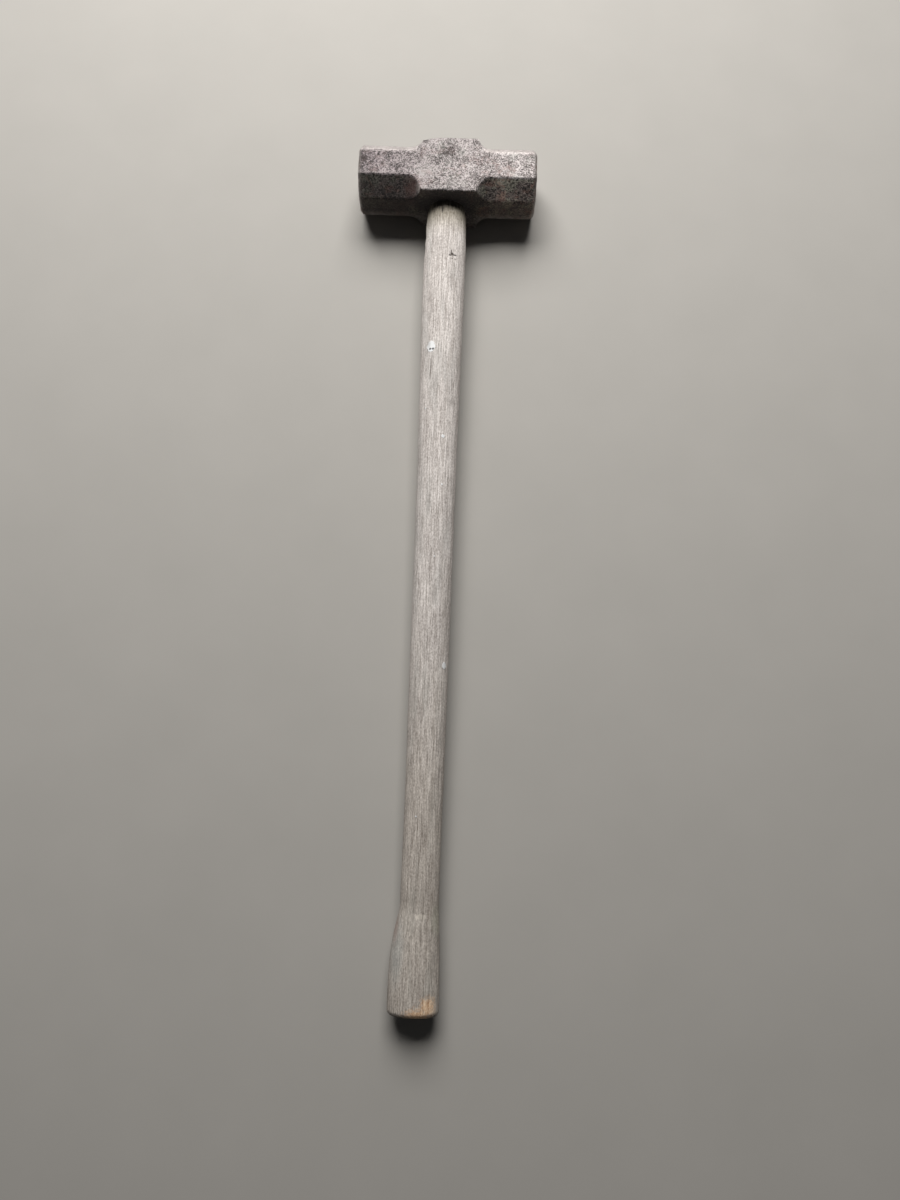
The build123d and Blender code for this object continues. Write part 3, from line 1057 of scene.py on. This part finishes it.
def pale_floor():
    """Plain pale ground, with a faint unevenness of tone."""
    s = Shader("pale_floor")
    colour = s.mix(s.noise(90, 4, 0.55), (0.400, 0.385, 0.360), (0.440, 0.422, 0.396))
    return s.finish(Base_Color=colour, Roughness=0.9)


# ------------------------------------------------------------------ stage, light and camera

FLOOR_SIZE = 9.0
CAMERA_PLACE = Vector((25.4, -666.9, 915.8)) * MM
CAMERA_LEAN = math.radians(12.24)  # from straight down towards the head
CAMERA_TURN = math.radians(1.98)  # about the vertical, so that the butt points to the lower left
CAMERA_LENS = 27.0
LIGHT_ELEVATION = math.radians(51)
LIGHT_BEARING = math.radians(8)  # from +Y towards -X
LIGHT_DISTANCE = 1.85
LIGHT_SIZE = (1.5, 1.35)
LIGHT_POWER = 66.0
LIGHT_COLOUR = (1.0, 0.985, 0.96)
ROOM_COLOUR = (0.95, 0.97, 1.0, 1)
ROOM_STRENGTH = 0.03
SWELL_LENGTH = 60 * MM  # the last part of the handle, which touches the floor
FLOOR_GAP = 0.05 * MM


def make_floor():
    """The hammer lies on the head's lower edge by the handle and on the butt."""
    handle = points_of(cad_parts["handle"].data)
    swell = handle[handle[:, 1] < BUTT_Y + SWELL_LENGTH]
    lean = np.arctan2(swell[:, 2], SEAT_Y - swell[:, 1]).min()
    half = FLOOR_SIZE / 2
    corners = [(-half, -half, 0), (half, -half, 0), (half, half, 0), (-half, half, 0)]
    floor = make_object("floor", corners, [(0, 1, 2, 3)])
    floor.matrix_world = Matrix.Translation((0, SEAT_Y, -FLOOR_GAP)) @ Matrix.Rotation(-lean, 4, "X")
    floor.data.materials.append(pale_floor())


def make_lights():
    """One large soft light, which shines on the head from beyond it, and a dim room."""
    data = bpy.data.lights.new("sky_opening", "AREA")
    data.shape = "RECTANGLE"
    data.size, data.size_y = LIGHT_SIZE
    data.energy = LIGHT_POWER
    data.color = LIGHT_COLOUR
    light = bpy.data.objects.new("sky_opening", data)
    bpy.context.scene.collection.objects.link(light)
    level = math.cos(LIGHT_ELEVATION)
    bearing = (-math.sin(LIGHT_BEARING) * level, math.cos(LIGHT_BEARING) * level)
    away = Vector((*bearing, math.sin(LIGHT_ELEVATION)))
    light.location = Vector((0, 0, AXIS_Z)) + away * LIGHT_DISTANCE
    light.rotation_euler = (-away).to_track_quat("-Z", "Y").to_euler()

    world = bpy.data.worlds.new("dim_room")
    world.use_nodes = True
    background = world.node_tree.nodes["Background"]
    background.inputs["Color"].default_value = ROOM_COLOUR
    background.inputs["Strength"].default_value = ROOM_STRENGTH
    bpy.context.scene.world = world
    bpy.context.scene.view_settings.view_transform = "Standard"


def make_camera():
    data = bpy.data.cameras.new("camera")
    data.lens = CAMERA_LENS
    camera = bpy.data.objects.new("camera", data)
    bpy.context.scene.collection.objects.link(camera)
    turn = Matrix.Rotation(CAMERA_TURN, 4, "Z")
    lean = Matrix.Rotation(CAMERA_LEAN, 4, "X")
    camera.matrix_world = Matrix.Translation(CAMERA_PLACE) @ turn @ lean
    bpy.context.scene.camera = camera


# ------------------------------------------------------------------ assembly


def hold(piece, node, material):
    """The piece stands for its CAD node and moves with the hammer's one body."""
    piece.data.materials.clear()
    piece.data.materials.append(material)
    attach(piece, "root")
    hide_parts(node)


make_camera()
make_lights()
make_floor()
hold(make_head(), "head", forged_steel())
hold(make_handle(), "handle", weathered_ash())
wooden_wedge = make_wedge("wooden_wedge", WOODEN_WEDGE_VOXEL, roughness=0.15 * MM, seed=301)
hold(wooden_wedge, "wooden_wedge", wedge_hardwood())
steel = wedge_steel()
for node, seed in (("steel_wedge_left", 315), ("steel_wedge_right", 316)):
    steel_wedge = make_wedge(node, STEEL_WEDGE_VOXEL, roughness=0.18 * MM, seed=seed)
    hold(steel_wedge, node, steel)
